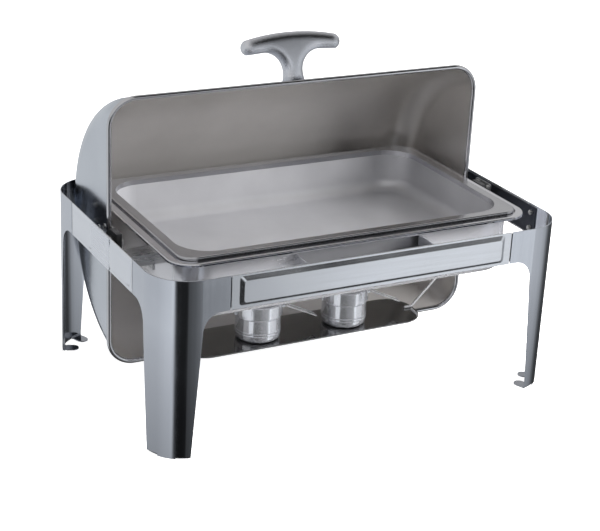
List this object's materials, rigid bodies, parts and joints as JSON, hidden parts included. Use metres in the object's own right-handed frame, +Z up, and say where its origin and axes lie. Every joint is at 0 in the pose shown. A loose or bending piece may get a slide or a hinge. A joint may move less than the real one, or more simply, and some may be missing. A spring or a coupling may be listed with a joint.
{
  "type": "roll top chafer",
  "caption": "Rectangular chafing dish with a roll top lid on side pivots, a food pan in a water pan, and a tray of fuel holders under a four legged sheet steel frame.",
  "frame": {"origin": "on the table, under the middle of the frame's plan", "axes": "+X along the length towards the right-hand end, -Y towards the front where the lid opens, +Z up; lid shown rolled open"},
  "size_m": [0.637, 0.432, 0.4941],
  "materials": {
    "frame_steel": "polished stainless sheet",
    "backing_steel": "mill finish stainless sheet",
    "cover_steel": "satin stainless sheet",
    "block_plastic": "moulded black nylon",
    "fastener_steel": "bright zinc plated",
    "bush_nylon": "natural nylon",
    "wire_steel": "bright drawn wire",
    "fuel_steel": "mirror polished stainless",
    "water_pan_steel": "bright stainless",
    "food_pan_steel": "satin inside, polished rim",
    "tray_steel": "mirror polished stainless",
    "lid_steel": "polished outside, satin inside",
    "rim_steel": "polished rolled edge",
    "handle_chrome": "polished chrome casting"
  },
  "bodies": {
    "frame": {"leg_front_left": "frame_steel", "leg_front_right": "frame_steel", "leg_rear_left": "frame_steel", "leg_rear_right": "frame_steel", "front_rail": "frame_steel", "rear_rail": "frame_steel", "left_rail": "frame_steel", "right_rail": "frame_steel", "front_backing": "backing_steel", "rear_backing": "backing_steel", "left_backing": "backing_steel", "right_backing": "backing_steel", "frame_studs": "fastener_steel", "frame_nuts": "fastener_steel", "hinge_studs": "fastener_steel", "hinge_nuts": "fastener_steel", "water_pan": "water_pan_steel", "filling_spout": "water_pan_steel", "arm_bolts": "fastener_steel", "fuel_tray": "tray_steel", "hinge_plate_left": "backing_steel", "stop_block_left": "block_plastic", "pivot_pin_left": "fastener_steel", "pivot_nut_left": "fastener_steel", "hinge_cover_left": "cover_steel", "pan_arm_left": "backing_steel", "tray_hanger_left": "wire_steel", "tray_eye_left": "backing_steel", "hinge_plate_right": "backing_steel", "stop_block_right": "block_plastic", "pivot_pin_right": "fastener_steel", "pivot_nut_right": "fastener_steel", "hinge_cover_right": "cover_steel", "pan_arm_right": "backing_steel", "tray_hanger_right": "wire_steel", "tray_eye_right": "backing_steel"},
    "lid": {"lid_shell": "lid_steel", "lid_rim": "rim_steel", "ear_rivets": "fastener_steel", "lid_handle": "handle_chrome", "handle_screws": "fastener_steel", "lid_ear_left": "backing_steel", "pivot_bush_left": "bush_nylon", "lid_ear_right": "backing_steel", "pivot_bush_right": "bush_nylon"},
    "food_pan": {"food_pan": "food_pan_steel"},
    "fuel_holder_left": {"fuel_cup_left": "fuel_steel", "fuel_collar_left": "fuel_steel"},
    "fuel_wire_left": {"fuel_handle_left": "wire_steel"},
    "fuel_holder_right": {"fuel_cup_right": "fuel_steel", "fuel_collar_right": "fuel_steel"},
    "fuel_wire_right": {"fuel_handle_right": "wire_steel"}
  },
  "joints": [
    {"name": "lid_roll", "type": "hinge", "parent": "frame", "child": "lid", "pos_m": [0, 0, 0.2345], "axis": [1, 0, 0], "range_deg": [0, 90]},
    {"name": "food_pan_lift", "type": "slide", "parent": "frame", "child": "food_pan", "axis": [0, 0, 1], "range_m": [0, 0.06]},
    {"name": "fuel_holder_left_slide", "type": "slide", "parent": "frame", "child": "fuel_holder_left", "axis": [0, -1, 0], "range_m": [0, 0.12]},
    {"name": "fuel_wire_left_swing", "type": "hinge", "parent": "fuel_holder_left", "child": "fuel_wire_left", "pos_m": [-0.0325, -0.005, 0.104], "axis": [0, -1, 0], "range_deg": [0, 60]},
    {"name": "fuel_holder_right_slide", "type": "slide", "parent": "frame", "child": "fuel_holder_right", "axis": [0, -1, 0], "range_m": [0, 0.12]},
    {"name": "fuel_wire_right_swing", "type": "hinge", "parent": "fuel_holder_right", "child": "fuel_wire_right", "pos_m": [0.1125, -0.005, 0.104], "axis": [0, -1, 0], "range_deg": [0, 60]}
  ]
}
